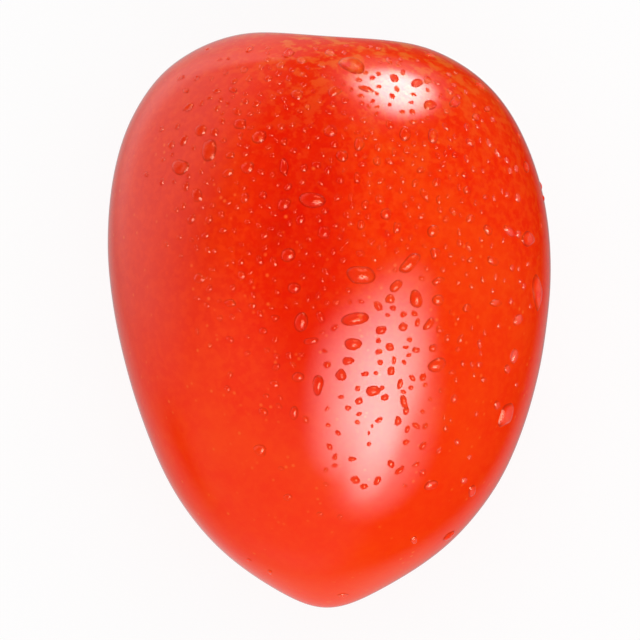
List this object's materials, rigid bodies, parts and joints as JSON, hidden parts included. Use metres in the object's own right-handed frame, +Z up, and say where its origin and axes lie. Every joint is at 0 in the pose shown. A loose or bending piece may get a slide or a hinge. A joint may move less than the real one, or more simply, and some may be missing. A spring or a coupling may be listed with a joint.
{
  "type": "plum tomato",
  "caption": "Whole ripe red plum tomato without its calyx, lying on its side, with a pointed blossom end and a shallow stem cavity.",
  "frame": {"origin": "middle of the small flat spot on the back that the fruit rests on, straight below its centre of mass", "axes": "+Z up, +Y towards the stem end and -Y towards the pointed blossom end, +X to the right as seen from above with the stem end at the top"},
  "size_m": [0.0507, 0.0658, 0.0479],
  "materials": {
    "skin": "smooth waxy fruit skin, glossy"
  },
  "bodies": {
    "root": {"tomato": "skin"}
  },
  "joints": []
}
